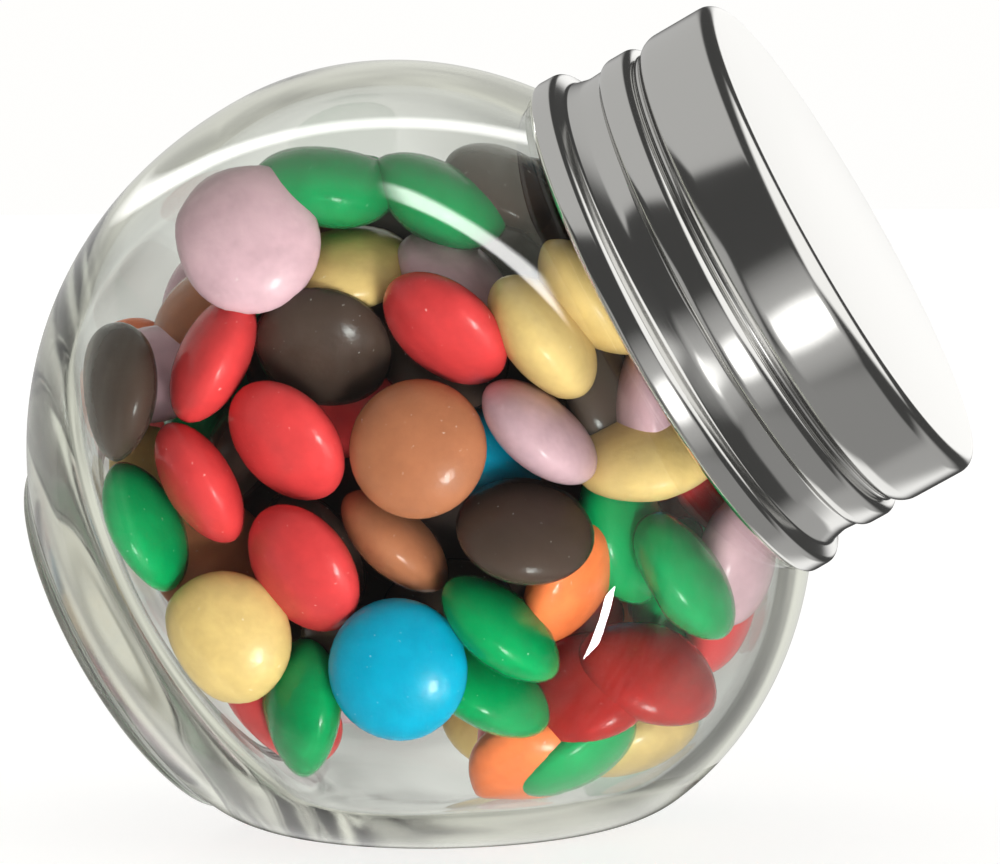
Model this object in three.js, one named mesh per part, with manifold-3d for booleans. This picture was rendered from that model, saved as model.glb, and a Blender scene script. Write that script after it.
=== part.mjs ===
// A jar of sugar-shelled chocolate lentils: a thick glass globe with flat front and back panels and one
// flat on its lower side, shut by a metal screw lid. The jar lies on that side flat, its neck pointing
// up and to +X. Millimetres, +Z up, +Y away from the viewer. The origin is the middle of the side flat.
import * as THREE from 'three';
import { mergeVertices } from 'three/addons/utils/BufferGeometryUtils.js';
import Module from 'manifold-3d';

// How the jar lies: the neck axis rises this far above +X, and the side flat faces straight down
const NECK_RISE = THREE.MathUtils.degToRad(29);

// Outside of the glass, heights along the neck axis from the foot
const GLOBE_RADIUS = 42;
const GLOBE_MIDDLE = 37.6;
const GLOBE_LOWER = { semi: 41, power: 2.12 };
const GLOBE_UPPER = { semi: 36.2, power: 2 };
const FOOT_RADIUS = 20.8;
const FOOT_HEIGHT = 2.2;
const FOOT_EDGE = 0.6;
const FOOT_RING = 3;
const PUSH_UP = 1.2;
const NECK_RADIUS = 24.2;
const NECK_TOP = 84;

// Inside of the glass
const CAVITY_RADIUS = 39.2;
const CAVITY_LOWER = { semi: 33, power: 2.5 };
const CAVITY_UPPER = { semi: 33, power: 2 };
const MOUTH_RADIUS = 21.4;

// Flats pressed into the globe: how far each lies from the middle of the globe, outside and inside
const PANEL = { outside: 31, inside: 27.4 };
const SIDE_FLAT = { outside: 37.6, inside: 34 };
const FLATS = [
  { normal: new THREE.Vector3(0, -1, 0), ...PANEL },
  { normal: new THREE.Vector3(0, 1, 0), ...PANEL },
  { normal: new THREE.Vector3(Math.cos(NECK_RISE), 0, -Math.sin(NECK_RISE)), ...SIDE_FLAT },
];

// Screw lid: height of its top from the foot, then each point as a radius and a drop below that top.
// The inside is a plain cup that widens at the mouth.
const LID_TOP = 85.15;
const LID_CUP = [[0, 0.8], [24.55, 0.8], [24.55, 17.55], [27.4, 19.85]];
// The outside from the mouth up: rolled edge, slightly hollow skirt, round bead, groove, and the plain
// band with its rounded edges
const LID_ROLL = [[27.7, 19.65], [28, 18.9], [28, 18.1], [27.5, 17.3]];
const LID_SKIRT = [[26.3, 16.6], [25.85, 14.7], [25.95, 12.9]];
const LID_BEAD = [[26.5, 12], [26.5, 10]];
const LID_GROOVE = [[25.3, 9.1], [25.3, 8.7]];
const LID_BAND = [[26, 8.1], [26.4, 6.9], [26.4, 1.2], [26, 0.4], [25.2, 0], [0, 0]];

// Chocolate lentils and the heap that they make
const LENTIL_RADIUS = 6.8;
const LENTIL_HALF = 3.4;
const LENTIL_COUNT = 80;
const LENTIL_SIDES = 8;
const LENTIL_RINGS = 5;
const LENTIL_MAX_LEAN = THREE.MathUtils.degToRad(75);
const LENTIL_CLEARANCE = 0.45;
const CORE_INSET = 6.4;
const SEED = 20;

// Factor, step and range of the seeded draw
const DRAW_FACTOR = 1664525;
const DRAW_STEP = 1013904223;
const DRAW_RANGE = 2 ** 32;

const AROUND = 44;
const GLOBE_STEPS = 11;
const CAVITY_STEPS = 9;
const CORE_AROUND = 16;
const CORE_STEPS = 4;
const GOLDEN_TURN = Math.PI * (3 - Math.sqrt(5));
const SETTLE_ROUNDS = 12;
const CUTTER = 200;
const CUT_PAST = 1;
const WELD = 1e-4;
const UP = new THREE.Vector3(0, 0, 1);

const wasm = await Module();
wasm.setup();

// Closed geometry to solid: shared corners are welded and triangles without area are dropped
function toSolid(geometry) {
  const bare = geometry.clone();
  bare.deleteAttribute('normal');
  bare.deleteAttribute('uv');
  const welded = mergeVertices(bare, WELD);
  const corners = welded.index.array;
  const kept = [];
  for (let i = 0; i < corners.length; i += 3) {
    const [a, b, c] = [corners[i], corners[i + 1], corners[i + 2]];
    if (a !== b && b !== c && c !== a) kept.push(a, b, c);
  }
  const vertProperties = new Float32Array(welded.attributes.position.array);
  return new wasm.Manifold(new wasm.Mesh({ numProp: 3, vertProperties, triVerts: new Uint32Array(kept) }));
}

function toGeometry(solid) {
  const mesh = solid.getMesh();
  const geometry = new THREE.BufferGeometry();
  geometry.setAttribute('position', new THREE.BufferAttribute(mesh.vertProperties, 3));
  geometry.setIndex(new THREE.BufferAttribute(mesh.triVerts, 1));
  geometry.computeVertexNormals();
  return geometry;
}

// A profile of [radius, height from the foot] turned round the neck axis, with the globe's middle at 0
function turned(profile, around = AROUND) {
  const points = profile.map(([radius, height]) => new THREE.Vector2(radius, height - GLOBE_MIDDLE));
  return new THREE.LatheGeometry(points, around).rotateX(Math.PI / 2);
}

// Radius of a globe at a height above its middle: an ellipse below and another above, slightly squared
function globeRadius(offset, radius, lower, upper) {
  const { semi, power } = offset < 0 ? lower : upper;
  const rest = 1 - Math.min(1, Math.abs(offset) / semi) ** power;
  return radius * rest ** (1 / power);
}

// Height above the middle at which the upper half of a globe has narrowed to a radius
function shoulderOffset(target, radius, { semi, power }) {
  return semi * (1 - (target / radius) ** power) ** (1 / power);
}

// Globe profile between two offsets, in steps that crowd towards both ends as an arc's do
function globeProfile(from, to, steps, radiusAt) {
  const profile = [];
  for (let i = 0; i <= steps; i += 1) {
    const share = (1 - Math.cos((Math.PI * i) / steps)) / 2;
    const offset = from + (to - from) * share;
    profile.push([radiusAt(offset), GLOBE_MIDDLE + offset]);
  }
  return profile;
}

// Takes away everything beyond each flat
function cutFlats(solid, distanceOf) {
  let cut = solid;
  for (const flat of FLATS) {
    const cutter = new THREE.BoxGeometry(CUTTER, CUTTER, CUTTER);
    cutter.translate(0, 0, distanceOf(flat) + CUTTER / 2);
    cutter.applyQuaternion(new THREE.Quaternion().setFromUnitVectors(UP, flat.normal));
    cut = cut.subtract(toSolid(cutter));
  }
  return cut;
}

function glassOutside() {
  const radiusAt = (offset) => globeRadius(offset, GLOBE_RADIUS, GLOBE_LOWER, GLOBE_UPPER);
  const shoulder = shoulderOffset(NECK_RADIUS, GLOBE_RADIUS, GLOBE_UPPER);
  const profile = [
    [0, PUSH_UP],
    [FOOT_RADIUS - FOOT_RING - PUSH_UP, PUSH_UP],
    [FOOT_RADIUS - FOOT_RING, 0],
    [FOOT_RADIUS - FOOT_EDGE, 0],
    [FOOT_RADIUS, FOOT_EDGE],
    [FOOT_RADIUS, FOOT_HEIGHT],
    ...globeProfile(FOOT_HEIGHT - GLOBE_MIDDLE, 0, GLOBE_STEPS, radiusAt),
    ...globeProfile(0, shoulder, GLOBE_STEPS, radiusAt).slice(1),
    [NECK_RADIUS, NECK_TOP],
    [0, NECK_TOP],
  ];
  return cutFlats(toSolid(turned(profile)), (flat) => flat.outside);
}

// The hollow, or a body inside it that keeps an inset from every wall
function cavity(inset, top, steps, around) {
  const shrunk = ({ semi, power }) => ({ semi: semi - inset, power });
  const [lower, upper] = [shrunk(CAVITY_LOWER), shrunk(CAVITY_UPPER)];
  const radius = CAVITY_RADIUS - inset;
  const mouth = MOUTH_RADIUS - inset;
  const radiusAt = (offset) => globeRadius(offset, radius, lower, upper);
  const profile = [
    ...globeProfile(-lower.semi, 0, steps, radiusAt),
    ...globeProfile(0, shoulderOffset(mouth, radius, upper), steps, radiusAt).slice(1),
    [mouth, top],
    [0, top],
  ];
  return cutFlats(toSolid(turned(profile, around)), (flat) => flat.inside - inset);
}

function glassJar() {
  return toGeometry(glassOutside().subtract(cavity(0, NECK_TOP + CUT_PAST, CAVITY_STEPS, AROUND)));
}

// One sheet-metal cup
function screwLid() {
  const profile = [LID_CUP, LID_ROLL, LID_SKIRT, LID_BEAD, LID_GROOVE, LID_BAND].flat();
  return turned(profile.map(([radius, drop]) => [radius, LID_TOP - drop]));
}

function seededDraw(seed) {
  let state = seed;
  return () => {
    state = (Math.imul(state, DRAW_FACTOR) + DRAW_STEP) >>> 0;
    return state / DRAW_RANGE;
  };
}

// How far a lentil with this axis reaches towards a direction
function lentilReach(axis, direction) {
  const along = axis.dot(direction) ** 2;
  return Math.sqrt(LENTIL_HALF ** 2 * along + LENTIL_RADIUS ** 2 * (1 - along));
}

// Where a point lies in the hollow: 1 on the curved wall, less inside, with the wall's outward direction
function curvedWall(point) {
  const { semi, power } = point.z < 0 ? CAVITY_LOWER : CAVITY_UPPER;
  const around = Math.hypot(point.x, point.y);
  const [across, along] = [around / CAVITY_RADIUS, Math.abs(point.z) / semi];
  const level = (across ** power + along ** power) ** (1 / power);
  const radial = (across / level) ** (power - 1) / CAVITY_RADIUS / Math.max(around, WELD);
  const axial = ((along / level) ** (power - 1) / semi) * Math.sign(point.z);
  const slope = new THREE.Vector3(point.x * radial, point.y * radial, axial);
  return { distance: (1 - level) / slope.length(), outward: slope.normalize() };
}

// Moves a lentil inwards until it clears the curved wall and every flat
function settle(centre, axis) {
  for (let round = 0; round < SETTLE_ROUNDS; round += 1) {
    const wall = curvedWall(centre);
    const short = lentilReach(axis, wall.outward) + LENTIL_CLEARANCE - wall.distance;
    if (short > 0) centre.addScaledVector(wall.outward, -short);
    for (const flat of FLATS) {
      const past = centre.dot(flat.normal) + lentilReach(axis, flat.normal) + LENTIL_CLEARANCE - flat.inside;
      if (past > 0) centre.addScaledVector(flat.normal, -past);
    }
  }
}

// Lentils spread evenly over the wall of the hollow, most lying flat against it and some leaning
function lentils() {
  const draw = seededDraw(SEED);
  const made = [];
  for (let i = 0; i < LENTIL_COUNT; i += 1) {
    const z = 1 - (2 * i + 1) / LENTIL_COUNT;
    const ring = Math.sqrt(1 - z * z);
    const turn = i * GOLDEN_TURN;
    const outward = new THREE.Vector3(ring * Math.cos(turn), z, ring * Math.sin(turn));
    const aside = new THREE.Vector3(draw() - 0.5, draw() - 0.5, draw() - 0.5).cross(outward).normalize();
    const axis = outward.clone().applyAxisAngle(aside, LENTIL_MAX_LEAN * draw() ** 2);
    const centre = outward.clone().multiplyScalar(CAVITY_RADIUS);
    settle(centre, axis);
    const lentil = new THREE.SphereGeometry(1, LENTIL_SIDES, LENTIL_RINGS).rotateX(Math.PI / 2);
    lentil.scale(LENTIL_RADIUS, LENTIL_RADIUS, LENTIL_HALF);
    lentil.applyQuaternion(new THREE.Quaternion().setFromUnitVectors(UP, axis));
    lentil.translate(centre.x, centre.y, centre.z);
    made.push(toSolid(lentil));
  }
  return made;
}

// The heap: a plain core with the outer lentils fused on, keeping the one large body
function chocolateHeap() {
  const top = GLOBE_MIDDLE + CAVITY_UPPER.semi - CORE_INSET;
  const core = cavity(CORE_INSET, top, CORE_STEPS, CORE_AROUND);
  const fused = lentils().reduce((heap, lentil) => heap.add(lentil), core);
  const bodies = fused.decompose();
  return toGeometry(bodies.reduce((best, body) => (body.volume() > best.volume() ? body : best)));
}

function part(name, geometry, finish) {
  const mesh = new THREE.Mesh(geometry, new THREE.MeshStandardMaterial(finish));
  mesh.name = name;
  return mesh;
}

const jar = new THREE.Group();
jar.add(part('glass_jar', glassJar(), { color: 0xdde4df, roughness: 0.05, transparent: true, opacity: 0.3 }));
jar.add(part('lid', screwLid(), { color: 0xc4c4c0, roughness: 0.24, metalness: 1 }));
jar.add(part('chocolates', chocolateHeap(), { color: 0xb0503a, roughness: 0.35 }));
jar.rotation.y = Math.PI / 2 - NECK_RISE;
jar.position.z = SIDE_FLAT.outside;

const model = new THREE.Group();
model.add(jar);

export default model;
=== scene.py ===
# %% [markdown]
# # A jar of chocolates
# A small glass globe jar lies on a flat in its side, full of sugar-shelled chocolate lentils and shut by a
# metal screw lid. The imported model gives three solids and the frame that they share. This lesson keeps
# their places and sizes, and gives each one its real surface: clear glass, turned metal and candy shells.

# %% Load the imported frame
import math
from collections import namedtuple

import bmesh
import bpy
import numpy as np
from mathutils import Matrix, Vector, noise


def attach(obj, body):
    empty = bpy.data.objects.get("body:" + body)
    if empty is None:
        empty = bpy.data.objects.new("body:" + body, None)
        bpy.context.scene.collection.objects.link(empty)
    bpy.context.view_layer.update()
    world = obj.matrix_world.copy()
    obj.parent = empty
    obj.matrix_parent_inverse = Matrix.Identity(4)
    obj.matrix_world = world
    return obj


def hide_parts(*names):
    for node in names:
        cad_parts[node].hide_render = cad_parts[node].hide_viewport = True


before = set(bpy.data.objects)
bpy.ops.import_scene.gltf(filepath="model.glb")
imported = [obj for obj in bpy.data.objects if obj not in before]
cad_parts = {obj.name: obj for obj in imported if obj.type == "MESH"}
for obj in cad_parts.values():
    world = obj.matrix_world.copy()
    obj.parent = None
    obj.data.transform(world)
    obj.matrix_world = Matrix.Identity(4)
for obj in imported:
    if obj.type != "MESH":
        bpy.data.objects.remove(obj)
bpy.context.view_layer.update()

MM = 0.001
scene = bpy.context.scene


# %% [markdown]
# ## How the jar lies
# The jar was drawn standing on its foot, round a neck axis, with the middle of the globe at 0. One matrix
# then lays it down: the axis drops until the side flat faces the floor. Every piece is modelled upright,
# where a turned shape is easy to write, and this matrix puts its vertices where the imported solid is.

# %% Lay the jar on its side flat
Flat = namedtuple("Flat", "normal outside inside")
NECK_RISE = math.radians(29)
PANEL_OUTSIDE, PANEL_INSIDE = 31.0, 27.4
SIDE_OUTSIDE, SIDE_INSIDE = 37.6, 34.0

globe_middle = Vector((0, 0, SIDE_OUTSIDE * MM))
lay_down = Matrix.Translation(globe_middle) @ Matrix.Rotation(math.pi / 2 - NECK_RISE, 4, "Y")
turn_down = lay_down.to_3x3()
front_panel = Flat(np.array((0.0, -1.0, 0.0)), PANEL_OUTSIDE, PANEL_INSIDE)
back_panel = Flat(np.array((0.0, 1.0, 0.0)), PANEL_OUTSIDE, PANEL_INSIDE)
side_flat = Flat(np.array((math.cos(NECK_RISE), 0.0, -math.sin(NECK_RISE))), SIDE_OUTSIDE, SIDE_INSIDE)
FLATS = (front_panel, back_panel, side_flat)
print("neck axis", [round(c, 3) for c in turn_down @ Vector((0, 0, 1))])

# %% [markdown]
# ## Camera
# The view is a little to the right of the front panel and a little above it. How flat the ellipse of the
# lid looks gives the distance, about five globe widths. Aiming at the point that falls in the middle of the
# frame puts the globe off centre, as it is in the photograph, with no lens shift.

# %% Place the camera
IMAGE_WIDTH, IMAGE_HEIGHT = 1000, 864
GLOBE_PIXEL = (442, 460)
PIXELS_PER_MM = 9.815
CAMERA_AZIMUTH = math.radians(13.3)
CAMERA_RISE = math.radians(3.5)
CAMERA_ROLL = math.radians(0.5)
CAMERA_DISTANCE = 440 * MM
SENSOR_WIDTH = 36.0

view_back = Vector((
    math.sin(CAMERA_AZIMUTH) * math.cos(CAMERA_RISE),
    -math.cos(CAMERA_AZIMUTH) * math.cos(CAMERA_RISE),
    math.sin(CAMERA_RISE),
))
level_right = Vector((math.cos(CAMERA_AZIMUTH), math.sin(CAMERA_AZIMUTH), 0))
level_up = view_back.cross(level_right)
view_right = level_right * math.cos(CAMERA_ROLL) - level_up * math.sin(CAMERA_ROLL)
view_up = level_up * math.cos(CAMERA_ROLL) + level_right * math.sin(CAMERA_ROLL)
pixel_size = MM / PIXELS_PER_MM
aim = (
    globe_middle
    + view_right * (IMAGE_WIDTH / 2 - GLOBE_PIXEL[0]) * pixel_size
    + view_up * (GLOBE_PIXEL[1] - IMAGE_HEIGHT / 2) * pixel_size
)
eye = aim + view_back * CAMERA_DISTANCE
lens = bpy.data.cameras.new("camera")
lens.sensor_width = SENSOR_WIDTH
lens.lens = SENSOR_WIDTH * (CAMERA_DISTANCE / pixel_size) / IMAGE_WIDTH
camera = bpy.data.objects.new("camera", lens)
camera_turn = Matrix((view_right, view_up, view_back)).transposed()
camera.matrix_world = Matrix.Translation(eye) @ camera_turn.to_4x4()
scene.collection.objects.link(camera)
scene.camera = camera
print("lens mm", round(lens.lens, 1), "eye in mm", [round(c / MM) for c in eye])

# %% [markdown]
# ## Small helpers for materials and pieces
# A material is a node tree. These helpers keep the trees short to read: one adds a node and sets its
# sockets, one joins two sockets, and one starts a material with its Principled shader ready. The last
# helper turns a finished bmesh into a piece that rides on the jar.


# %% Node and piece helpers
def add_node(tree, kind, **sockets):
    """Adds a node and sets its named sockets. Names are written with _ for a space."""
    node = tree.nodes.new(kind)
    for name, value in sockets.items():
        node.inputs[name.replace("_", " ")].default_value = value
    return node


def join(tree, source, target):
    tree.links.new(source, target)


def new_material(name, **sockets):
    """A material whose tree holds one Principled shader with these sockets set."""
    material = bpy.data.materials.new(name)
    material.use_nodes = True
    tree = material.node_tree
    tree.nodes.clear()
    shader = add_node(tree, "ShaderNodeBsdfPrincipled", **sockets)
    output = tree.nodes.new("ShaderNodeOutputMaterial")
    join(tree, shader.outputs["BSDF"], output.inputs["Surface"])
    return material, tree, shader, output


def finish_piece(name, bm, material, slot, *nodes):
    """Turns a bmesh into a smooth piece that rides on the jar and stands for the named solids."""
    mesh = bpy.data.meshes.new(name)
    bm.to_mesh(mesh)
    bm.free()
    mesh.polygons.foreach_set("use_smooth", [True] * len(mesh.polygons))
    mesh.materials.append(material)
    piece = bpy.data.objects.new(name, mesh)
    scene.collection.objects.link(piece)
    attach(piece, "root")
    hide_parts(*nodes)
    print(name, len(mesh.polygons), "faces")
    return piece


# %% [markdown]
# ## Turned shapes
# The jar and the lid are both turned: a profile goes once round the neck axis. bmesh's spin does that, and
# merging doubles afterwards closes the seam and the poles. Spin can leave the faces pointing inwards, so
# the normals are worked out again on the closed shape.

# %% Spin a profile
WELD = 1e-7


def spun(profile, steps, mark_from=None):
    """Spins (radius, height) points in mm round Z. Points from mark_from on are marked as inside wall."""
    bm = bmesh.new()
    inside = bm.verts.layers.int.new("inside")
    verts = [bm.verts.new((radius * MM, 0, height * MM)) for radius, height in profile]
    for index, vert in enumerate(verts):
        vert[inside] = int(mark_from is not None and index >= mark_from)
    edges = [bm.edges.new(pair) for pair in zip(verts, verts[1:])]
    bmesh.ops.spin(bm, geom=verts + edges, cent=(0, 0, 0), axis=(0, 0, 1), angle=math.tau,
                   steps=steps, use_merge=True)
    bmesh.ops.remove_doubles(bm, verts=bm.verts, dist=WELD)
    bmesh.ops.recalc_face_normals(bm, faces=bm.faces)
    return bm


# %% [markdown]
# ## The glass
# The jar is pressed glass, 3 to 5 mm thick: a globe, slightly squared towards its foot, with a flat front
# and back panel, a flat on its lower side and a plain neck. Its profile goes up the outside, over the lip
# and down the inside. The globe is a formula, so its two halves can swell differently.

# %% Shapes that make up the profile
GLOBE_RADIUS = 42.0
GLOBE_LOWER, GLOBE_UPPER = (41.0, 2.12), (36.2, 2.0)
CAVITY_RADIUS = 39.2
CAVITY_LOWER, CAVITY_UPPER = (33.0, 2.5), (33.0, 2.0)
FOOT_BOTTOM = -37.6
FOOT_RADIUS, FOOT_HEIGHT, FOOT_RING, PUSH_UP = 20.8, 2.2, 3.0, 1.2


def globe_radius(offset, radius, lower, upper):
    """Radius at a height. Each half has its own height and its own power, and 2 is an ellipse."""
    semi, power = lower if offset < 0 else upper
    return radius * max(0.0, 1 - abs(offset / semi) ** power) ** (1 / power)


def globe_arc(start, end, steps, *shape):
    """Points of a globe between two heights, crowded towards both ends as on an arc."""
    shares = [(1 - math.cos(math.pi * step / steps)) / 2 for step in range(steps + 1)]
    heights = [start + (end - start) * share for share in shares]
    return [(globe_radius(height, *shape), height) for height in heights]


def shoulder_height(target, radius, semi):
    """Height at which the upper half has shrunk to a target radius."""
    return semi * math.sqrt(1 - (target / radius) ** 2)


def straight(start, end, steps):
    """Evenly spaced points from start to end, without the end."""
    return [tuple(np.array(start) + (np.array(end) - start) * step / steps) for step in range(steps)]


def rounded_corner(centre, radius, start_turn, end_turn, steps):
    """Points of a small arc, turns in degrees from the radial direction."""
    turns = [math.radians(start_turn + (end_turn - start_turn) * step / steps) for step in range(steps + 1)]
    return [(centre[0] + radius * math.cos(turn), centre[1] + radius * math.sin(turn)) for turn in turns]


def foot_dome(edge, steps):
    """The underside of the foot, pushed up in the middle and running out level at its edge."""
    rings = [edge * step / steps for step in range(steps)]
    return [(ring, FOOT_BOTTOM + PUSH_UP * (1 + math.cos(math.pi * ring / edge)) / 2) for ring in rings]


print("wall mm at the widest", round(GLOBE_RADIUS - CAVITY_RADIUS, 1),
      "and at the foot", round(-FOOT_BOTTOM - CAVITY_LOWER[0], 1))

# %% [markdown]
# The neck is a plain ring under the lid, with a rounded lip. Arcs get more points than straight stretches,
# because light bends at the glass and shows every facet.

# %% Profile of the glass, heights from the middle of the globe
NECK_RADIUS, NECK_TOP = 24.2, 46.4
MOUTH_RADIUS = 21.4
NECK_START = 1.0
FOOT_EDGE, NECK_LIP = 0.9, 1.2
DOME_STEPS, RING_STEPS, CORNER_STEPS, NECK_STEPS = 24, 4, 5, 6
OUTSIDE_STEPS, INSIDE_STEPS = (68, 62), (50, 58)

outer_shape = (GLOBE_RADIUS, GLOBE_LOWER, GLOBE_UPPER)
inner_shape = (CAVITY_RADIUS, CAVITY_LOWER, CAVITY_UPPER)
shoulder_out = shoulder_height(NECK_RADIUS, GLOBE_RADIUS, GLOBE_UPPER[0])
shoulder_in = shoulder_height(MOUTH_RADIUS, CAVITY_RADIUS, CAVITY_UPPER[0])
ring_inside = FOOT_RADIUS - FOOT_RING
foot_corner = FOOT_RADIUS - FOOT_EDGE
lip_height = NECK_TOP - NECK_LIP

outside_profile = (
    foot_dome(ring_inside, DOME_STEPS)
    + straight((ring_inside, FOOT_BOTTOM), (foot_corner, FOOT_BOTTOM), RING_STEPS)
    + rounded_corner((foot_corner, FOOT_BOTTOM + FOOT_EDGE), FOOT_EDGE, -90, 0, CORNER_STEPS)
    + globe_arc(FOOT_BOTTOM + FOOT_HEIGHT, 0, OUTSIDE_STEPS[0], *outer_shape)
    + globe_arc(0, shoulder_out, OUTSIDE_STEPS[1], *outer_shape)[1:]
    + straight((NECK_RADIUS, shoulder_out + NECK_START), (NECK_RADIUS, lip_height), NECK_STEPS)
    + rounded_corner((NECK_RADIUS - NECK_LIP, lip_height), NECK_LIP, 0, 90, CORNER_STEPS)
)
inside_profile = (
    rounded_corner((MOUTH_RADIUS + NECK_LIP, lip_height), NECK_LIP, 90, 180, CORNER_STEPS)
    + straight((MOUTH_RADIUS, lip_height - NECK_LIP), (MOUTH_RADIUS, shoulder_in + NECK_START), NECK_STEPS)
    + globe_arc(shoulder_in, 0, INSIDE_STEPS[0], *inner_shape)
    + globe_arc(0, -CAVITY_LOWER[0], INSIDE_STEPS[1], *inner_shape)[1:]
)
print("glass profile points", len(outside_profile), "outside", len(inside_profile), "inside")

# %% [markdown]
# Cutting the flats would leave hard edges, but hot glass has soft ones. So the globe is turned round first,
# and each flat then presses its vertices in along its normal with a rounded minimum, which is exactly flat
# in the middle and rolls off at the edge. The inside wall is pressed by the same flats, nearer the middle
# and with a softer edge. A faint waviness on it breaks up the view through the glass, as in the real jar.

# %% Press the flats into the glass
GLASS_STEPS = 320
EDGE_OUTSIDE, EDGE_INSIDE = 3.5, 4.0
WAVE_HEIGHT, WAVE_LENGTH, WAVE_FROM = 0.06, 14.0, -15.0


def soft_min(value, limit, soft):
    """The smaller of two lengths, with the corner between them rounded over soft on both sides."""
    share = max(soft - abs(value - limit), 0) / soft
    return min(value, limit) - share * share * soft / 4


def press_flats(bm):
    inside = bm.verts.layers.int["inside"]
    for vert in bm.verts:
        for flat in FLATS:
            normal = Vector(flat.normal)
            reach = vert.co.dot(normal) / MM
            if vert[inside]:
                pressed = soft_min(reach, flat.inside, EDGE_INSIDE)
            else:
                pressed = soft_min(reach, flat.outside, EDGE_OUTSIDE)
            vert.co += normal * (pressed - reach) * MM


def add_waves(bm):
    inside = bm.verts.layers.int["inside"]
    bm.normal_update()
    wavy = [vert for vert in bm.verts if vert[inside] and vert.co.z > WAVE_FROM * MM]
    for vert in wavy:
        vert.co += vert.normal * noise.noise(vert.co / (WAVE_LENGTH * MM)) * WAVE_HEIGHT * MM


glass = spun(outside_profile + inside_profile, GLASS_STEPS, mark_from=len(outside_profile))
press_flats(glass)
add_waves(glass)
glass.transform(lay_down)
print("glass vertices", len(glass.verts))

# %% [markdown]
# Clear glass is a Principled shader with full transmission. The foot and the side flat touched the cold
# mould, so they are chilled: a little rough, which blurs what bends through the thick base. Lamps reach what
# lies inside only through bent paths, which a path tracer finds slowly, so shadow rays meet a nearly clear
# Transparent shader instead. The glass keeps its bent view, and the chocolates are lit cleanly.

# %% Clear glass
Chill = namedtuple("Chill", "facing start end roughness")
DOWN = Vector((0, 0, -1))
GLASS_TINT = (0.962, 0.978, 0.95, 1)
GLASS_SHADOW = (0.94, 0.96, 0.95, 1)
GLASS_IOR = 1.5
CHILLED = (Chill(turn_down @ DOWN, 22.0, 33.0, 0.10), Chill(DOWN, 30.0, 36.0, 0.08))

glass_finish, tree, shader, output = new_material(
    "clear_glass", Base_Color=GLASS_TINT, IOR=GLASS_IOR, Transmission_Weight=1.0)
glass_place = tree.nodes.new("ShaderNodeTexCoord")
rougher = tree.nodes.new("ShaderNodeMath")
rougher.operation = "MAXIMUM"
for socket, chill in zip(rougher.inputs, CHILLED):
    reach = tree.nodes.new("ShaderNodeVectorMath")
    reach.operation = "DOT_PRODUCT"
    reach.inputs[1].default_value = chill.facing
    middle = chill.facing.dot(globe_middle)
    rough = add_node(tree, "ShaderNodeMapRange", From_Min=middle + chill.start * MM,
                     From_Max=middle + chill.end * MM, To_Max=chill.roughness)
    join(tree, glass_place.outputs["Object"], reach.inputs[0])
    join(tree, reach.outputs["Value"], rough.inputs["Value"])
    join(tree, rough.outputs["Result"], socket)
join(tree, rougher.outputs["Value"], shader.inputs["Roughness"])
lamp_light = add_node(tree, "ShaderNodeBsdfTransparent", Color=GLASS_SHADOW)
ray_kind = tree.nodes.new("ShaderNodeLightPath")
choose = tree.nodes.new("ShaderNodeMixShader")
join(tree, ray_kind.outputs["Is Shadow Ray"], choose.inputs["Fac"])
join(tree, shader.outputs["BSDF"], choose.inputs[1])
join(tree, lamp_light.outputs["BSDF"], choose.inputs[2])
join(tree, choose.outputs["Shader"], output.inputs["Surface"])
finish_piece("glass", glass, glass_finish, "clear_glass", "glass_jar")

# %% [markdown]
# ## The lid
# The lid is one cup of sheet metal: a flat top, a plain upper band, a groove, a round bead, a skirt and a
# rolled bottom edge. Its profile is a row of corners, and each corner is rounded to the radius that the
# sheet takes when it is rolled. The inside is plain, because the shut jar hides it.

# %% Profile of the lid, drops from its top
Corner = namedtuple("Corner", "radius drop fillet")
LID_TOP = 47.55
LID_HEIGHT = 19.85
LID_SHEET = 0.8
LID_BORE, LID_MOUTH, LID_FLARE = 24.55, 27.4, 2.3
FILLET_STEPS = 8

LID_CORNERS = [
    Corner(0, 0, 0),
    Corner(26.4, 0, 1.6),
    Corner(26.4, 7.9, 2.4),
    Corner(25.3, 8.7, 0.3),
    Corner(25.3, 9.1, 0.25),
    Corner(26.5, 9.5, 1.0),
    Corner(26.5, 12.3, 1.2),
    Corner(25.95, 12.9, 0.4),
    Corner(25.85, 14.7, 3.0),
    Corner(26.3, 16.5, 0.5),
    Corner(27.95, 17.2, 0.8),
    Corner(28.0, 19.5, 0.8),
    Corner(LID_MOUTH, LID_HEIGHT, 0.2),
    Corner(LID_BORE, LID_HEIGHT - LID_FLARE, 0.3),
    Corner(LID_BORE, LID_SHEET, 0.3),
    Corner(0, LID_SHEET, 0),
]


def filleted(corners):
    """The corners as points from the top down, each sharp one replaced by an arc of its fillet."""
    points = []
    places = [Vector((corner.radius, LID_TOP - corner.drop)) for corner in corners]
    for index, corner in enumerate(corners):
        here = places[index]
        if corner.fillet == 0:
            points.append(tuple(here))
            continue
        before = (places[index - 1] - here).normalized()
        after = (places[index + 1] - here).normalized()
        half = before.angle(after) / 2
        middle = here + (before + after).normalized() * (corner.fillet / math.sin(half))
        first = here + before * (corner.fillet / math.tan(half)) - middle
        last = here + after * (corner.fillet / math.tan(half)) - middle
        for step in range(FILLET_STEPS + 1):
            spoke = first.slerp(last, step / FILLET_STEPS).normalized()
            points.append(tuple(middle + spoke * corner.fillet))
    return points


lid_profile = filleted(LID_CORNERS)
print("lid profile points", len(lid_profile))

# %% [markdown]
# The metal is drawn sheet, polished round the axis, so its highlights stretch across the polishing lines.
# A UV map that runs round the lid tells the shader which way those lines go, and a noise stretched along
# them varies the roughness a little.

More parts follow.
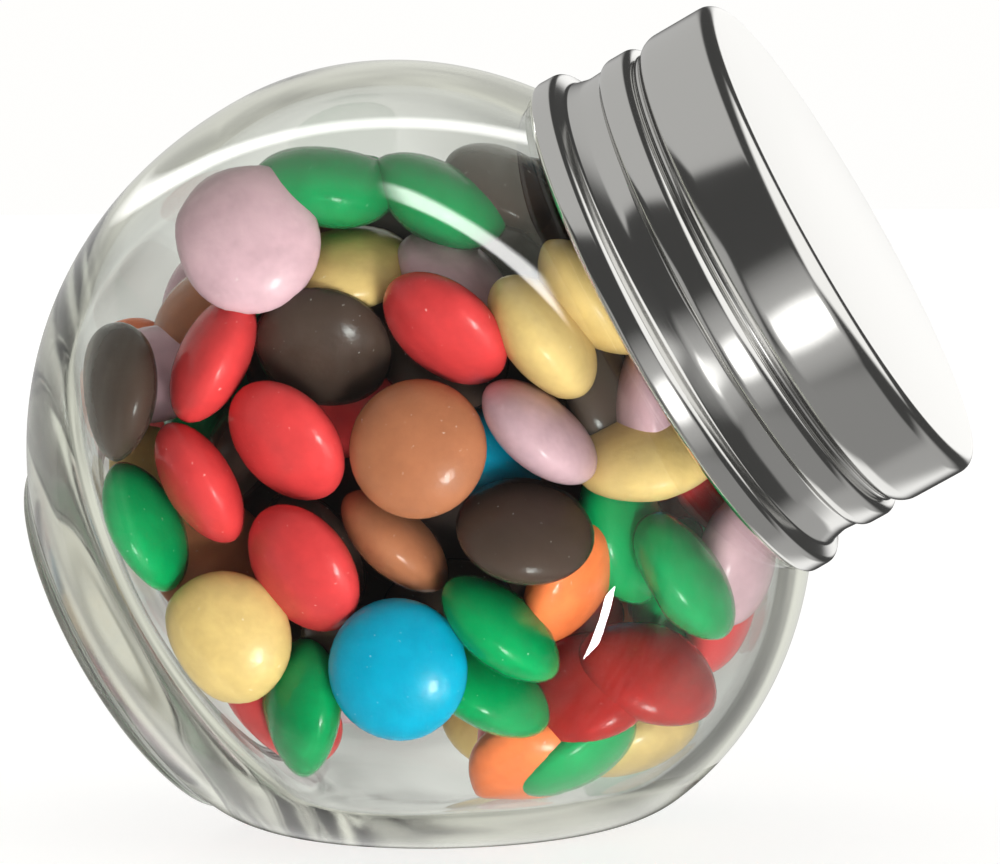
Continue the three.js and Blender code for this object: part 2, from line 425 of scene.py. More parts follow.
# %% Turn the lid
LID_STEPS = 256
LID_METAL = (0.80, 0.795, 0.775, 1)
HALF_TURN = 0.5
LINE_STRETCH = (260.0, 3.0, 1.0)
POLISH = (0.09, 0.17)


def map_round(bm, name):
    """A UV map whose first axis runs down the lid and whose second runs once round it."""
    layer = bm.loops.layers.uv.new(name)
    for face in bm.faces:
        turns = [math.atan2(loop.vert.co.y, loop.vert.co.x) / math.tau for loop in face.loops]
        wraps = max(turns) - min(turns) > HALF_TURN
        for loop, turn in zip(face.loops, turns):
            point = loop.vert.co
            across = point.z - math.hypot(point.x, point.y)
            loop[layer].uv = (across / (LID_HEIGHT * MM), turn + 1 if wraps and turn < 0 else turn)


lid = spun(lid_profile, LID_STEPS)
map_round(lid, "turning")
lid.transform(lay_down)

lid_finish, tree, shader, _ = new_material(
    "turned_metal", Base_Color=LID_METAL, Metallic=1.0, Anisotropic=0.4)
turning = tree.nodes.new("ShaderNodeUVMap")
turning.uv_map = "turning"
stretch = add_node(tree, "ShaderNodeMapping", Scale=LINE_STRETCH)
lines = add_node(tree, "ShaderNodeTexNoise", Scale=1.0, Detail=3.0)
lines.noise_dimensions = "2D"
polish = add_node(tree, "ShaderNodeMapRange", To_Min=POLISH[0], To_Max=POLISH[1])
join(tree, turning.outputs["UV"], stretch.inputs["Vector"])
join(tree, stretch.outputs["Vector"], lines.inputs["Vector"])
join(tree, lines.outputs["Fac"], polish.inputs["Value"])
join(tree, polish.outputs["Result"], shader.inputs["Roughness"])
along_lines = tree.nodes.new("ShaderNodeTangent")
along_lines.direction_type = "UV_MAP"
along_lines.uv_map = "turning"
join(tree, along_lines.outputs["Tangent"], shader.inputs["Tangent"])
screw_lid = finish_piece("screw_lid", lid, lid_finish, "lid_metal", "lid")

# %% [markdown]
# ## Where the chocolates lie
# The lentils behind the front panel are the face of this jar, so each one that can be told apart is listed
# one by one: the pixel of its middle, how far its axis leans away from the viewer and towards which side (in
# degrees, 0 to the right and 90 up), and how far it lies behind the panel. The camera ray through the pixel
# gives its place. All others are spread by a rule with a seeded draw.

# %% Lentils that can be told apart
Seen = namedtuple("Seen", "colour pixel lean toward behind")
LENTILS_IN_VIEW = [
    Seen("mauve", (246, 240), 14, 120, 0),
    Seen("red", (217, 358), 78, 154, 0.5),
    Seen("dark_brown", (327, 347), 38, 255, 4),
    Seen("yellow", (347, 268), 60, 100, 5),
    Seen("red", (448, 328), 63, 232, 0),
    Seen("red", (290, 440), 54, 224, 0),
    Seen("brown", (421, 448), 12, 160, 0),
    Seen("mauve", (542, 431), 76, 49, 0),
    Seen("dark_brown", (118, 393), 66, 172, 0),
    Seen("red", (203, 482), 78, 211, 0),
    Seen("green", (133, 530), 74, 26, 0),
    Seen("red", (307, 567), 55, 215, 0),
    Seen("brown", (398, 540), 84, 47, 3),
    Seen("dark_brown", (528, 530), 48, 80, 1),
    Seen("yellow", (217, 645), 12, 194, 0),
    Seen("blue", (401, 668), 14, 194, 0),
    Seen("green", (503, 627), 78, 50, 0),
    Seen("green", (305, 705), 68, 175, 3),
    Seen("green", (486, 683), 70, 60, 5),
    Seen("red", (246, 752), 45, 250, 7),
    Seen("orange", (570, 582), 76, 330, 6),
    Seen("blue", (490, 462), 70, 40, 8),
    Seen("mauve", (455, 284), 70, 50, 6),
    Seen("yellow", (542, 338), 84, 37, 1),
    Seen("brown", (200, 315), 60, 140, 11),
    Seen("brown", (206, 556), 30, 60, 8),
    Seen("mauve", (158, 372), 50, 100, 8),
    Seen("red", (343, 408), 50, 270, 8),
    Seen("green", (330, 190), 78, 80, 5),
    Seen("green", (440, 205), 78, 60, 8),
    # These two dark brown lentils near the neck are partly real lentils and partly painted shade under the
    # lid.
    Seen("dark_brown", (545, 215), 60, 50, 14),
    Seen("dark_brown", (507, 196), 66, 60, 13),
    Seen("yellow", (586, 298), 84, 39, 2),
    Seen("dark_brown", (610, 400), 60, 20, 10),
    Seen("mauve", (640, 418), 88, 10, 8),
    Seen("yellow", (648, 455), 60, 100, 6),
    Seen("green", (684, 575), 75, 33, 8),
    Seen("green", (615, 532), 75, 10, 10),
    # Two red lentils in shadow: their shade is painted into a darker red.
    Seen("painted_shade_red", (668, 690), 55, 70, 10),
    Seen("painted_shade_red", (590, 682), 52, 112, 12),
    Seen("mauve", (740, 560), 72, 350, 16),
    Seen("orange", (538, 788), 60, 280, 12),
    Seen("green", (575, 748), 75, 300, 12),
    Seen("yellow", (640, 752), 78, 290, 20),
]
print(len(LENTILS_IN_VIEW), "lentils told apart")

# %% [markdown]
# A lentil is a flattened ball, so how far it reaches in any direction follows from its axis. That gives the
# depth at which each one touches the front panel.

# %% Put them behind the front panel
LENTIL_RADIUS, LENTIL_HALF = 6.8, 3.4
WALL_GAP = 0.42


def lentil_reach(axes, directions):
    """How far lentils with these axes reach towards these directions."""
    along = np.sum(axes * directions, axis=-1) ** 2
    return np.sqrt(LENTIL_HALF ** 2 * along + LENTIL_RADIUS ** 2 * (1 - along))


def leaning(lean, toward):
    """Axis of a lentil that leans away from the viewer, in the lying frame."""
    lean, toward = math.radians(lean), math.radians(toward)
    aside = view_right * math.cos(toward) + view_up * math.sin(toward)
    return view_back * math.cos(lean) + aside * math.sin(lean)


def on_ray(pixel, depth):
    """Where the camera ray through a pixel passes a depth along Y."""
    ray = (
        view_right * (pixel[0] - IMAGE_WIDTH / 2) * pixel_size
        + view_up * (IMAGE_HEIGHT / 2 - pixel[1]) * pixel_size
        - view_back * CAMERA_DISTANCE
    )
    return eye + ray * ((depth - eye.y) / ray.y)


stand_up = lay_down.inverted()
seen_axes = np.array([stand_up.to_3x3() @ leaning(seen.lean, seen.toward) for seen in LENTILS_IN_VIEW])
touching = PANEL_INSIDE - WALL_GAP - lentil_reach(seen_axes, front_panel.normal)
seen_centres = np.array([
    stand_up @ on_ray(seen.pixel, (seen.behind - depth) * MM) / MM
    for seen, depth in zip(LENTILS_IN_VIEW, touching)
])
print("depth of the front row in mm", np.round(touching.min(), 1), "to", np.round(touching.max(), 1))

# %% [markdown]
# The rest lie in layers over the wall of the hollow, each on a golden-angle spiral, most of them flat against
# the glass. A spot that a placed lentil already takes is left out, and so are a few places where the glass
# is clear and nothing lies behind it. Towards the viewer the first layer is the placed one, and in the deeper
# layers most lentils towards the viewer are dark brown, as painted shade between the lentils in front.

# %% Places that stay clear
ClearSpot = namedtuple("ClearSpot", "pixel radius depth")
CLEAR_GLASS = (
    ClearSpot((395, 800), 95, 40.0),
    ClearSpot((205, 150), 95, 40.0),
    ClearSpot((320, 110), 90, 40.0),
    ClearSpot((450, 110), 90, 40.0),
    ClearSpot((385, 735), 62, 40.0),
    ClearSpot((450, 710), 42, 40.0),
    ClearSpot((150, 235), 70, 40.0),
    ClearSpot((110, 300), 75, 25.0),
    ClearSpot((120, 650), 60, 8.0),
)


def pixel_of(place):
    """The pixel that a place in the standing jar, in mm, falls on."""
    ray = lay_down @ (Vector(place) * MM) - eye
    scale = CAMERA_DISTANCE / -ray.dot(view_back) / pixel_size
    return np.array((IMAGE_WIDTH / 2 + ray.dot(view_right) * scale,
                     IMAGE_HEIGHT / 2 - ray.dot(view_up) * scale))


def in_clear_glass(place):
    """Whether a place falls on a clear spot and lies in front of the depth, along Y, where it ends."""
    depth = (turn_down @ Vector(place)).y
    pixel = pixel_of(place)
    in_reach = [clear for clear in CLEAR_GLASS if depth < clear.depth]
    return any(np.linalg.norm(pixel - clear.pixel) < clear.radius for clear in in_reach)


print(len(CLEAR_GLASS), "clear spots")

# %% Spread the other lentils
SPREAD = np.random.default_rng(20)
COLOUR_SHARES = {"red": 0.2, "green": 0.16, "yellow": 0.17, "brown": 0.13, "dark_brown": 0.12, "blue": 0.08,
                 "mauve": 0.09, "orange": 0.05}
OUTERMOST = 1.0
LAYERS = ((92, OUTERMOST), (76, 0.74), (34, 0.5))
LAYER_INSET = 0.1
MAX_LEAN = math.radians(75)
GOLDEN_ANGLE = math.pi * (3 - math.sqrt(5))
TAKEN = 10.5  # mm between two middles, below which a spot counts as taken
FACING = -0.05  # cosine to the viewer, above which a spot counts as in view
# Spots in view mostly get dark brown lentils, as painted shade between the lentils in front.
PAINTED_SHADE_SHARE = 0.75  # share of the spots in view that are dark
hollow = np.array((CAVITY_RADIUS, PANEL_INSIDE, CAVITY_RADIUS))


def spiral(count):
    """Directions spread evenly over a sphere, with their poles along Y."""
    rows = np.arange(count)
    along = 1 - (2 * rows + 1) / count
    ring = np.sqrt(1 - along ** 2)
    turn = rows * GOLDEN_ANGLE
    return np.stack([ring * np.cos(turn), along, ring * np.sin(turn)], axis=1)


def leaned(outward):
    """An axis that leans away from a direction by a random angle, small angles more often."""
    aside = np.cross(SPREAD.normal(size=3), outward)
    aside /= np.linalg.norm(aside)
    lean = MAX_LEAN * SPREAD.random() ** 2
    return outward * math.cos(lean) + aside * math.sin(lean)


def drawn_colour(in_view):
    # A spot in view mostly gets a dark brown lentil, as painted shade.
    if in_view and SPREAD.random() < PAINTED_SHADE_SHARE:
        return "dark_brown"
    return str(SPREAD.choice(list(COLOUR_SHARES), p=list(COLOUR_SHARES.values())))


centres, axes, colours = list(seen_centres), list(seen_axes), [seen.colour for seen in LENTILS_IN_VIEW]
for count, share in LAYERS:
    for outward in spiral(count):
        axis = leaned(outward)
        spot = outward * hollow * (share - LAYER_INSET)
        in_view = (turn_down @ Vector(outward)).dot(view_back) > FACING
        colour = drawn_colour(in_view)
        taken = np.linalg.norm(seen_centres - spot, axis=1).min() < TAKEN
        in_front_row = share == OUTERMOST and in_view
        if not (taken or in_front_row or in_clear_glass(spot)):
            centres.append(spot)
            axes.append(axis)
            colours.append(colour)
centres, axes = np.array(centres), np.array(axes)
placed = np.arange(len(centres)) < len(LENTILS_IN_VIEW)
print(len(centres), "lentils in all")

# %% [markdown]
# Spread lentils overlap, and some poke through the glass. A few rounds of pushing settle them: each pair
# that overlaps moves apart along the line between them, and each lentil moves in from any wall it crosses.
# A placed lentil only gives way in depth, and not far, so it stays under its pixel.

# %% How lentils push each other and the wall pushes them
CONTACT_SHARES = (0.6, 0.4)
TINY = 1e-6


def push_apart(centres):
    """How far each lentil has to move away from the ones that it overlaps."""
    between = centres[None, :, :] - centres[:, None, :]
    distance = np.linalg.norm(between, axis=-1) + TINY
    line = between / distance[..., None]
    along_here = np.sum(axes[:, None, :] * line, axis=-1) ** 2
    along_there = along_here.T
    size = np.zeros_like(distance)
    for along in (along_here, along_there):
        radius = 1 / np.sqrt(along / LENTIL_HALF ** 2 + (1 - along) / LENTIL_RADIUS ** 2)
        support = np.sqrt(LENTIL_HALF ** 2 * along + LENTIL_RADIUS ** 2 * (1 - along))
        size += CONTACT_SHARES[0] * radius + CONTACT_SHARES[1] * support
    overlap = np.clip(size - distance, 0, None)
    np.fill_diagonal(overlap, 0)
    return -np.sum(line * overlap[..., None], axis=1) / 2


def past_curved_wall(centres):
    """How far lentils stick out of the curved wall, less than 0 inside it, and which way out is."""
    around = np.linalg.norm(centres[:, :2], axis=1) + TINY
    low = centres[:, 2] < 0
    semi = np.where(low, CAVITY_LOWER[0], CAVITY_UPPER[0])
    power = np.where(low, CAVITY_LOWER[1], CAVITY_UPPER[1])
    across, along = around / CAVITY_RADIUS, np.abs(centres[:, 2]) / semi
    level = (across ** power + along ** power) ** (1 / power) + TINY
    radial = (across / level) ** (power - 1) / CAVITY_RADIUS / around
    axial = (along / level) ** (power - 1) / semi * np.sign(centres[:, 2])
    slope = np.stack([centres[:, 0] * radial, centres[:, 1] * radial, axial], axis=1)
    steep = np.linalg.norm(slope, axis=1)
    outward = slope / steep[:, None]
    return lentil_reach(axes, outward) + WALL_GAP - (1 - level) / steep, outward


def push_inside(centres):
    """Moves lentils in from the curved wall, from the flats and from the soft edges between them."""
    past_wall, outward = past_curved_wall(centres)
    centres = centres - outward * np.clip(past_wall, 0, None)[:, None]
    for flat in FLATS:
        past = centres @ flat.normal + lentil_reach(axes, flat.normal) + WALL_GAP - flat.inside
        near_edge = np.clip(EDGE_INSIDE - np.abs(past - np.minimum(past_wall, 0)), 0, None)
        past = past + near_edge ** 2 / (4 * EDGE_INSIDE)
        centres = centres - np.clip(past, 0, None)[:, None] * flat.normal
    return centres


print("first overlap in mm", np.round(np.linalg.norm(push_apart(centres), axis=1).max(), 2))

# %% Settle the lentils
SETTLE_ROUNDS = 160
SETTLE_SHARE = 0.6
GIVE_WAY = 1.5

for _ in range(SETTLE_ROUNDS):
    move = push_apart(centres)
    move[placed] *= back_panel.normal
    centres = centres + SETTLE_SHARE * move
    give = np.clip(centres[placed, 1] - seen_centres[:, 1], 0, GIVE_WAY)
    centres[placed] = seen_centres + give[:, None] * back_panel.normal
    centres = push_inside(centres)
kept = placed | ~np.array([in_clear_glass(centre) for centre in centres])
centres, axes = centres[kept], axes[kept]
colours = [colour for colour, keep in zip(colours, kept) if keep]
print(len(centres), "lentils, overlap left in mm",
      np.round(np.linalg.norm(push_apart(centres), axis=1).max(), 2))

# %% [markdown]
# ## Candy shells
# A shell is sugar, polished to a satin shine, with slight mottling and tiny pits. One function makes the
# finish for any colour: close shades mixed by a soft noise, a tone that differs from lentil to lentil,
# specks of sugar dust and a fine bump. The colours were matched to the photograph under this light.

# %% Candy shell finishes
SHELL_COLOURS = {
    "red": (0.56, 0.042, 0.044),
    # A darker red: red with painted shade, for two red lentils that lie in shadow.
    "painted_shade_red": (0.34, 0.011, 0.010),
    "green": (0.001, 0.265, 0.075),
    "yellow": (0.60, 0.425, 0.165),
    "brown": (0.345, 0.128, 0.062),
    "dark_brown": (0.055, 0.036, 0.028),
    "blue": (0.001, 0.275, 0.43),
    "mauve": (0.54, 0.345, 0.39),
    "orange": (0.80, 0.19, 0.06),
}
SHADES = ((0.28, 0.80), (0.62, 1.0), (0.85, 1.1))
SPECK = (0.9, 0.93, 0.9, 1)
SHINE = 0.22
GLOSS = (0.12, 0.3)
DUST_FROM, DUST_FULL, DUST_SHARE = 0.72, 0.84, 0.3


def candy_shell(name, colour):
    material, tree, shader, _ = new_material("shell_" + name, Specular_IOR_Level=SHINE)
    place = tree.nodes.new("ShaderNodeTexCoord")
    mottle = add_node(tree, "ShaderNodeTexNoise", Scale=330.0, Detail=6.0, Roughness=0.65)
    tone = tree.nodes.new("ShaderNodeAttribute")
    tone.attribute_name = "tone"
    both = tree.nodes.new("ShaderNodeMath")
    both.operation = "ADD"
    shades = tree.nodes.new("ShaderNodeValToRGB")
    shades.color_ramp.elements.new(SHADES[1][0])
    for stop, (position, share) in zip(shades.color_ramp.elements, SHADES):
        stop.position = position
        stop.color = (*[min(1, c * share) for c in colour], 1)
    pits = add_node(tree, "ShaderNodeTexNoise", Scale=1700.0, Detail=2.0)
    relief = add_node(tree, "ShaderNodeBump", Strength=0.3, Distance=0.1 * MM)
    gloss = add_node(tree, "ShaderNodeMapRange", To_Min=GLOSS[0], To_Max=GLOSS[1])
    dust = add_node(tree, "ShaderNodeMapRange", From_Min=DUST_FROM, From_Max=DUST_FULL, To_Max=DUST_SHARE)
    dusted = add_node(tree, "ShaderNodeMixRGB", Color2=SPECK)
    for pattern in (mottle, pits):
        join(tree, place.outputs["Object"], pattern.inputs["Vector"])
    join(tree, mottle.outputs["Fac"], both.inputs[0])
    join(tree, tone.outputs["Fac"], both.inputs[1])
    join(tree, both.outputs["Value"], shades.inputs["Fac"])
    join(tree, pits.outputs["Fac"], dust.inputs["Value"])
    join(tree, dust.outputs["Result"], dusted.inputs["Fac"])
    join(tree, shades.outputs["Color"], dusted.inputs["Color1"])
    join(tree, dusted.outputs["Color"], shader.inputs["Base Color"])
    join(tree, mottle.outputs["Fac"], gloss.inputs["Value"])
    join(tree, gloss.outputs["Result"], shader.inputs["Roughness"])
    join(tree, pits.outputs["Fac"], relief.inputs["Height"])
    join(tree, relief.outputs["Normal"], shader.inputs["Normal"])
    return material


print(len(SHELL_COLOURS), "shell colours")

# %% [markdown]
# All lentils of one colour are one piece. One lentil is a sphere made by an operator, drawn to a slight
# edge at its rim, and each copy of it is flattened, turned to its axis and moved to its place by one matrix.
# Sizes differ a little, as panned sweets do, and each lentil carries its own tone as an attribute for the
# finish to read.

# %% Make the lentils
AROUND, RINGS = 40, 22
SIZE_SPREAD = 0.025
TONE_SPREAD = 0.12
EDGE_POWER = 1.06
VARY = np.random.default_rng(7)


def one_lentil():
    bm = bmesh.new()
    bm.verts.layers.float.new("tone")
    bmesh.ops.create_uvsphere(bm, u_segments=AROUND, v_segments=RINGS, radius=1)
    for vert in bm.verts:
        vert.co.z = math.copysign(abs(vert.co.z) ** EDGE_POWER, vert.co.z)
    mesh = bpy.data.meshes.new("lentil")
    bm.to_mesh(mesh)
    bm.free()
    return mesh


def lentil_matrix(centre, axis):
    size = 1 + SIZE_SPREAD * (2 * VARY.random() - 1)
    radius, half = LENTIL_RADIUS * size * MM, LENTIL_HALF * size * MM
    turn = Vector(axis).to_track_quat("Z", "Y").to_matrix().to_4x4()
    flatten = Matrix.Diagonal((radius, radius, half, 1))
    return lay_down @ Matrix.Translation(Vector(centre) * MM) @ turn @ flatten


lentil = one_lentil()
for colour, shell in SHELL_COLOURS.items():
    bm = bmesh.new()
    for centre, axis, own in zip(centres, axes, colours):
        if own != colour:
            continue
        copy = lentil.copy()
        copy.transform(lentil_matrix(centre, axis))
        own_tone = TONE_SPREAD * (2 * VARY.random() - 1)
        copy.attributes["tone"].data.foreach_set("value", [own_tone] * len(copy.vertices))
        bm.from_mesh(copy)
        bpy.data.meshes.remove(copy)
    finish_piece("lentils_" + colour, bm, candy_shell(colour, shell), "sugar_shell", "chocolates")

# %% [markdown]
# Behind the deeper layers nothing shows but shadow. A plain dark core, its colour painted shade, closes the
# view there, pressed to the shape of the hollow so that it stays behind the lentils on every side.

# %% The core of the heap, dark as painted shade
CORE_SCALE = 0.42
CORE_BEHIND = 18.0
# Near-black tints of painted shade, broken into patches.
CORE_SHADE_TINTS = ((0.05, 0.02, 0.012, 1), (0.012, 0.007, 0.005, 1))

core_radius, core_depth = CAVITY_RADIUS * CORE_SCALE, PANEL_INSIDE - CORE_BEHIND
core = bmesh.new()
bmesh.ops.create_icosphere(core, subdivisions=4, radius=core_radius * MM)
bmesh.ops.scale(core, vec=(1, core_depth / core_radius, 1), verts=core.verts)
core.transform(lay_down)
core_finish, tree, shader, _ = new_material("core_shadow", Roughness=0.7)
core_place = tree.nodes.new("ShaderNodeTexCoord")
patches = add_node(tree, "ShaderNodeTexVoronoi", Scale=110.0)
tints = tree.nodes.new("ShaderNodeValToRGB")
for stop, tint in zip(tints.color_ramp.elements, CORE_SHADE_TINTS):
    stop.color = tint
join(tree, core_place.outputs["Object"], patches.inputs["Vector"])
join(tree, patches.outputs["Distance"], tints.inputs["Fac"])
join(tree, tints.outputs["Color"], shader.inputs["Base Color"])
finish_piece("heap_core", core, core_finish, "sugar_shell", "chocolates")

# %% [markdown]
# ## Floor
# The floor is one wide pale sheet. It glows faintly, as a white sheet does under soft light from all round,
# so that it stays pale. The highlights on the lentils come from below its level, so it casts no shadow and
# lets that light pass. It isn't mirrored either: the surroundings give what metal and glass see below them.

# %% Pale floor
FLOOR_HALF = 6.0
FLOOR_DROP = 0.15 * MM
FLOOR_GLOW, FLOOR_GLOW_COLOUR = 0.77, (1, 0.995, 0.985, 1)
FLOOR_TONES = ((0.34, 0.34, 0.335, 1), (0.36, 0.36, 0.355, 1))

floor_bm = bmesh.new()
bmesh.ops.create_grid(floor_bm, x_segments=1, y_segments=1, size=FLOOR_HALF,
                      matrix=Matrix.Translation((0, 0, -FLOOR_DROP)))
floor_mesh = bpy.data.meshes.new("floor")
floor_bm.to_mesh(floor_mesh)
floor_bm.free()
floor = bpy.data.objects.new("floor", floor_mesh)
scene.collection.objects.link(floor)
floor_finish, tree, shader, _ = new_material(
    "pale_floor", Roughness=0.65, Emission_Color=FLOOR_GLOW_COLOUR, Emission_Strength=FLOOR_GLOW)
floor_place = tree.nodes.new("ShaderNodeTexCoord")
grain = add_node(tree, "ShaderNodeTexNoise", Scale=3.0, Detail=2.0)
pale = tree.nodes.new("ShaderNodeValToRGB")
for stop, tone in zip(pale.color_ramp.elements, FLOOR_TONES):
    stop.color = tone
join(tree, floor_place.outputs["Object"], grain.inputs["Vector"])
join(tree, grain.outputs["Fac"], pale.inputs["Fac"])
join(tree, pale.outputs["Color"], shader.inputs["Base Color"])
floor_mesh.materials.append(floor_finish)
floor.visible_shadow = False
floor.visible_glossy = False
floor.visible_transmission = False
print("floor", 2 * FLOOR_HALF, "m wide")

# %% [markdown]
# ## Light
# Glass and metal show their surroundings, so the surroundings are drawn on purpose. They are built from two
# kinds of mark: a fade along one axis of the looking direction, and a round spot about a direction, given
# by its cosine. A patch of light is the product of its marks, and a view mostly takes the brightest patch.

# %% Marks to draw the surroundings with
Fade = namedtuple("Fade", "axis start end low high", defaults=(0.0, 1.0))
Spot = namedtuple("Spot", "around start end high", defaults=(1.0,))

world = bpy.data.worlds.new("studio")
world.use_nodes = True
scene.world = world
world_tree = world.node_tree
world_tree.nodes.clear()
looking = world_tree.nodes.new("ShaderNodeTexCoord").outputs["Generated"]
split = world_tree.nodes.new("ShaderNodeSeparateXYZ")
join(world_tree, looking, split.inputs["Vector"])


def ramp(value, start, end, low, high, kind="SMOOTHSTEP"):
    """Brightness that goes from low to high as a value goes from start to end."""
    node = add_node(world_tree, "ShaderNodeMapRange", From_Min=start, From_Max=end, To_Min=low, To_Max=high)
    node.interpolation_type = kind
    join(world_tree, value, node.inputs["Value"])
    return node.outputs["Result"]


def fade(mark):
    return ramp(split.outputs[mark.axis], mark.start, mark.end, mark.low, mark.high)


def spot_of(mark):
    cosine = world_tree.nodes.new("ShaderNodeVectorMath")
    cosine.operation = "DOT_PRODUCT"
    cosine.inputs[1].default_value = Vector(mark.around).normalized()
    join(world_tree, looking, cosine.inputs[0])
    return ramp(cosine.outputs["Value"], mark.start, mark.end, 0.0, mark.high)


def combine(kind, first, *others):
    """Sums, products, smallest or largest of any number of brightnesses."""
    for other in others:
        node = world_tree.nodes.new("ShaderNodeMath")
        node.operation = kind
        join(world_tree, first, node.inputs[0])
        join(world_tree, other, node.inputs[1])
        first = node.outputs["Value"]
    return first


def patch(*marks):
    return combine("MULTIPLY", *[fade(mark) if isinstance(mark, Fade) else spot_of(mark) for mark in marks])


print("looking directions split into", [axis.name for axis in split.outputs])

# %% [markdown]
# The lid and the chilled glass mirror a studio: a white backdrop behind, which whitens the lid's top, a
# grey sky on the left, a window low in front with a glow round it, and paler fields at the sides and below.
# What is left of the sky is nearly black, and gives the metal its contrast.

# %% What the metal and the chilled glass mirror
BACKDROP = Spot((0.09, 0.985, 0.13), 0.955, 0.985, 1.1)
SKY = (Spot((0.0, 0.5, 1.0), 0.18, 0.27), Fade("X", -0.2, -0.36))
SKY_TONES = (0.06, 0.5)
WINDOW = (0.11, -0.87, -0.48)
WINDOW_GLOW, WINDOW_PANE = Spot(WINDOW, 0.80, 1.0, 0.5), Spot(WINDOW, 0.974, 1.0, 1.6)
FIELDS = {
    "right": (Fade("X", 0.25, 0.5, high=1.1), Fade("Z", -0.2, 0.05), Fade("Y", 0.55, 0.4)),
    "left": (Fade("X", -0.4, -0.62, high=0.4), Fade("Z", 0.1, -0.1)),
    "back left": (Fade("X", -0.3, -0.5, high=0.5), Fade("Y", 0.1, 0.4), Fade("Z", 0.45, 0.25)),
    "low back": (Fade("Y", 0.1, 0.5), Fade("Z", -0.25, -0.5), Fade("X", 0.22, 0.1, low=0.4)),
    "below": (Fade("Z", -0.6, -0.85, high=0.27), Fade("X", 0.6, 0.45)),
}

sky = ramp(patch(*SKY), 0.0, 1.0, *SKY_TONES, kind="LINEAR")
window = combine("ADD", patch(WINDOW_GLOW), patch(WINDOW_PANE))
fields = [patch(*marks) for marks in FIELDS.values()]
reflected = combine("MAXIMUM", patch(BACKDROP), sky, window, *fields)
print("mirrored fields", list(FIELDS))

# %% [markdown]
# Smooth glass mirrors sharply, so what it mirrors is drawn as shapes: a bow that becomes the long arc over
# the top of the globe, and a second one that becomes the streak on the upper lentils. The rest is dim.

# %% What smooth glass mirrors
ARC_AROUND = (-0.230, 0.775, 0.588)
ARC = (Spot(ARC_AROUND, 0.855, 0.880), Spot(ARC_AROUND, 0.918, 0.893), Fade("Z", 0.15, 0.5, high=6.0))
STREAK_AROUND = (0.373, -0.009, 0.928)
STREAK = (Spot(STREAK_AROUND, 0.66, 0.74), Spot(STREAK_AROUND, 0.93, 0.86), Fade("Y", -0.25, -0.4, high=18.0),
          Fade("X", -0.1, 0.05), Fade("X", 0.62, 0.5))
ROOM = Fade("Y", 0.2, 0.8, 0.08, 0.6)

mirrored = combine("MAXIMUM", patch(*ARC), patch(*STREAK), patch(ROOM))
print("bows", len(ARC), "and", len(STREAK), "marks")

# %% [markdown]
# What is seen through the glass is cloudy grey, darker towards the viewer and paler below. A ray that stays
# in the wall sees a duller back, darker on the right, a pale rim and paler sides, so the wall reads as thick
# glass. It sees nothing bright in front, because the panel would lay that as a haze over the lentils.

# %% What is seen through the glass
CLOUD_SPAN = (0.38, 0.62)
ROOM_TONES, BACK_TONES, SIDE_TONES = (0.45, 0.8), (0.34, 0.66), (0.42, 0.75)
TOWARD_VIEWER = Fade("Y", 0.0, -0.7, 0.8, 0.2)
PALE_BELOW = Fade("Z", -0.1, -0.45, high=0.72)
DARK_RIGHT = Fade("X", 0.06, 0.18, 1.0, 0.35)
PALE_RIM = Spot((-0.1, 0.99, -0.1), 0.95, 0.985, 0.85)
PALE_SIDES = Fade("Y", 0.8, 0.45)
PALE_ABOVE = Fade("Z", 0.5, 0.85)
NOT_IN_FRONT = Spot((-0.15, -0.98, -0.02), 0.985, 0.90)

clouds = add_node(world_tree, "ShaderNodeTexNoise", Scale=3.0, Detail=2.0)
join(world_tree, looking, clouds.inputs["Vector"])


def clouded(tones):
    return ramp(clouds.outputs["Fac"], *CLOUD_SPAN, *tones, kind="LINEAR")


through = combine("MINIMUM", clouded(ROOM_TONES), patch(TOWARD_VIEWER))
through = combine("MAXIMUM", through, patch(PALE_BELOW))
wall_back = combine("MULTIPLY", clouded(BACK_TONES), patch(DARK_RIGHT))
wall_sides = combine("MULTIPLY", clouded(SIDE_TONES), patch(PALE_SIDES))
in_wall = combine("MAXIMUM", wall_back, patch(PALE_RIM), wall_sides, patch(PALE_ABOVE))
in_wall = combine("MULTIPLY", in_wall, patch(NOT_IN_FRONT))
print("cloud tones", ROOM_TONES, BACK_TONES, SIDE_TONES)

# %% [markdown]
# The kind of ray picks its view. The camera sees plain white, and rays that have bounced off a lentil see a
# soft sky, which lights the heap. A ray that crossed glass fewer than three times never left the wall, and
# it takes the faint olive of the glass along.

# %% Which ray sees what
WORLD_SEEN = 1.0
SOFT_SKY = Fade("Z", -0.3, 0.8, 0.42, 0.88)
WALL_CROSSINGS = 2.5
WORLD_WHITE, WALL_COLOUR = (1, 0.995, 0.98, 1), (1, 1, 0.87, 1)
rays = world_tree.nodes.new("ShaderNodeLightPath").outputs


def choose_view(switch, otherwise, chosen):
    """otherwise where the switch is 0 and chosen where it is 1."""
    node = world_tree.nodes.new("ShaderNodeMix")
    at_zero, at_one = node.inputs[2], node.inputs[3]
    join(world_tree, switch, node.inputs["Factor"])
    join(world_tree, otherwise, at_zero)
    if isinstance(chosen, float):
        at_one.default_value = chosen
    else:
        join(world_tree, chosen, at_one)
    return node.outputs[0]


few_crossings = world_tree.nodes.new("ShaderNodeMath")
few_crossings.operation = "LESS_THAN"
few_crossings.inputs[1].default_value = WALL_CROSSINGS
join(world_tree, rays["Transmission Depth"], few_crossings.inputs[0])
stays_in_wall = few_crossings.outputs["Value"]

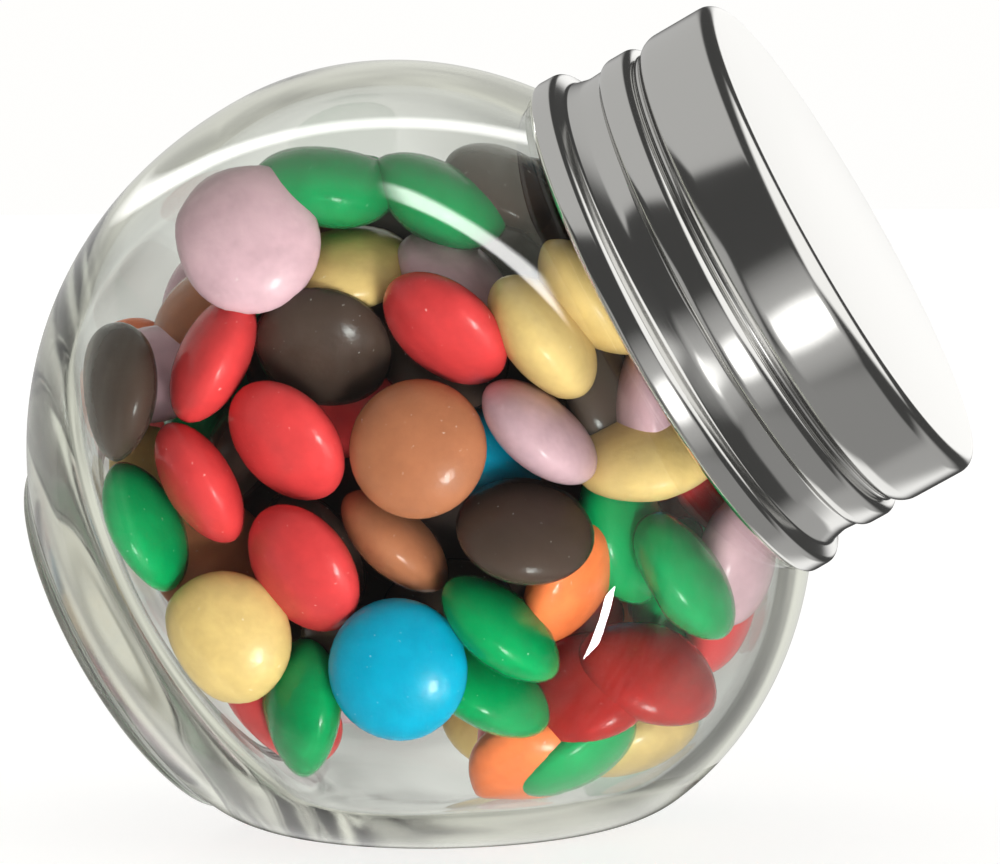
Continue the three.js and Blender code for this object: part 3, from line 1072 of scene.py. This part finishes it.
strength = choose_view(rays["Is Singular Ray"], reflected, mirrored)
strength = choose_view(rays["Is Transmission Ray"], strength, choose_view(stays_in_wall, through, in_wall))
strength = choose_view(rays["Diffuse Depth"], strength, patch(SOFT_SKY))
strength = choose_view(rays["Is Camera Ray"], strength, WORLD_SEEN)
tint = add_node(world_tree, "ShaderNodeMixRGB", Color1=WORLD_WHITE, Color2=WALL_COLOUR)
join(world_tree, combine("MULTIPLY", stays_in_wall, rays["Is Transmission Ray"]), tint.inputs["Fac"])
background = world_tree.nodes.new("ShaderNodeBackground")
world_output = world_tree.nodes.new("ShaderNodeOutputWorld")
join(world_tree, tint.outputs["Color"], background.inputs["Color"])
join(world_tree, strength, background.inputs["Strength"])
join(world_tree, background.outputs["Background"], world_output.inputs["Surface"])
print("world nodes", len(world_tree.nodes))

# %% [markdown]
# ## Key lamp
# One soft lamp, in front on the right and below the floor's level, makes the small highlight at the lower
# right of each lentil. Its mirror image is the short white streak low on the front panel. The lid is flagged
# off from it, because the window in the surroundings already makes the lid's highlight.

# %% Key lamp
KEY_FROM = Vector((0.45, -0.82, -0.36))
KEY_DISTANCE = 0.5
KEY_SIZE = (0.08, 0.10)
KEY_POWER = 1.6

key_data = bpy.data.lights.new("key", "AREA")
key_data.shape = "RECTANGLE"
key_data.size, key_data.size_y = KEY_SIZE
key_data.energy = KEY_POWER
key = bpy.data.objects.new("key", key_data)
key_turn = KEY_FROM.to_track_quat("Z", "Y").to_matrix().to_4x4()
key.matrix_world = Matrix.Translation(globe_middle + KEY_FROM.normalized() * KEY_DISTANCE) @ key_turn
key.visible_camera = False
key.visible_transmission = False
scene.collection.objects.link(key)

flagged_off = bpy.data.collections.new("flagged_off")
flagged_off.objects.link(screw_lid)
flagged_off.collection_objects[0].light_linking.link_state = "EXCLUDE"
key.light_linking.receiver_collection = flagged_off
print("key lamp", KEY_POWER, "W at", KEY_DISTANCE, "m")

# %% [markdown]
# ## Bounces
# Light that runs along the thick glass is reflected many times before it comes out again, so rays may bounce
# often. The surroundings depend on the kind of ray, so rays find them by themselves and they are never
# sampled as a lamp. Light that glass or metal mirrors onto a lentil would only add noise and is left out. The
# Standard view shows the colours as they were set.

# %% Bounces and colours
GLASS_BOUNCES = 24
scene.view_settings.view_transform = "Standard"
scene.cycles.caustics_reflective = False
world.cycles.sampling_method = "NONE"
scene.cycles.max_bounces = GLASS_BOUNCES
scene.cycles.glossy_bounces = GLASS_BOUNCES
scene.cycles.transmission_bounces = GLASS_BOUNCES
print("bounces", GLASS_BOUNCES)
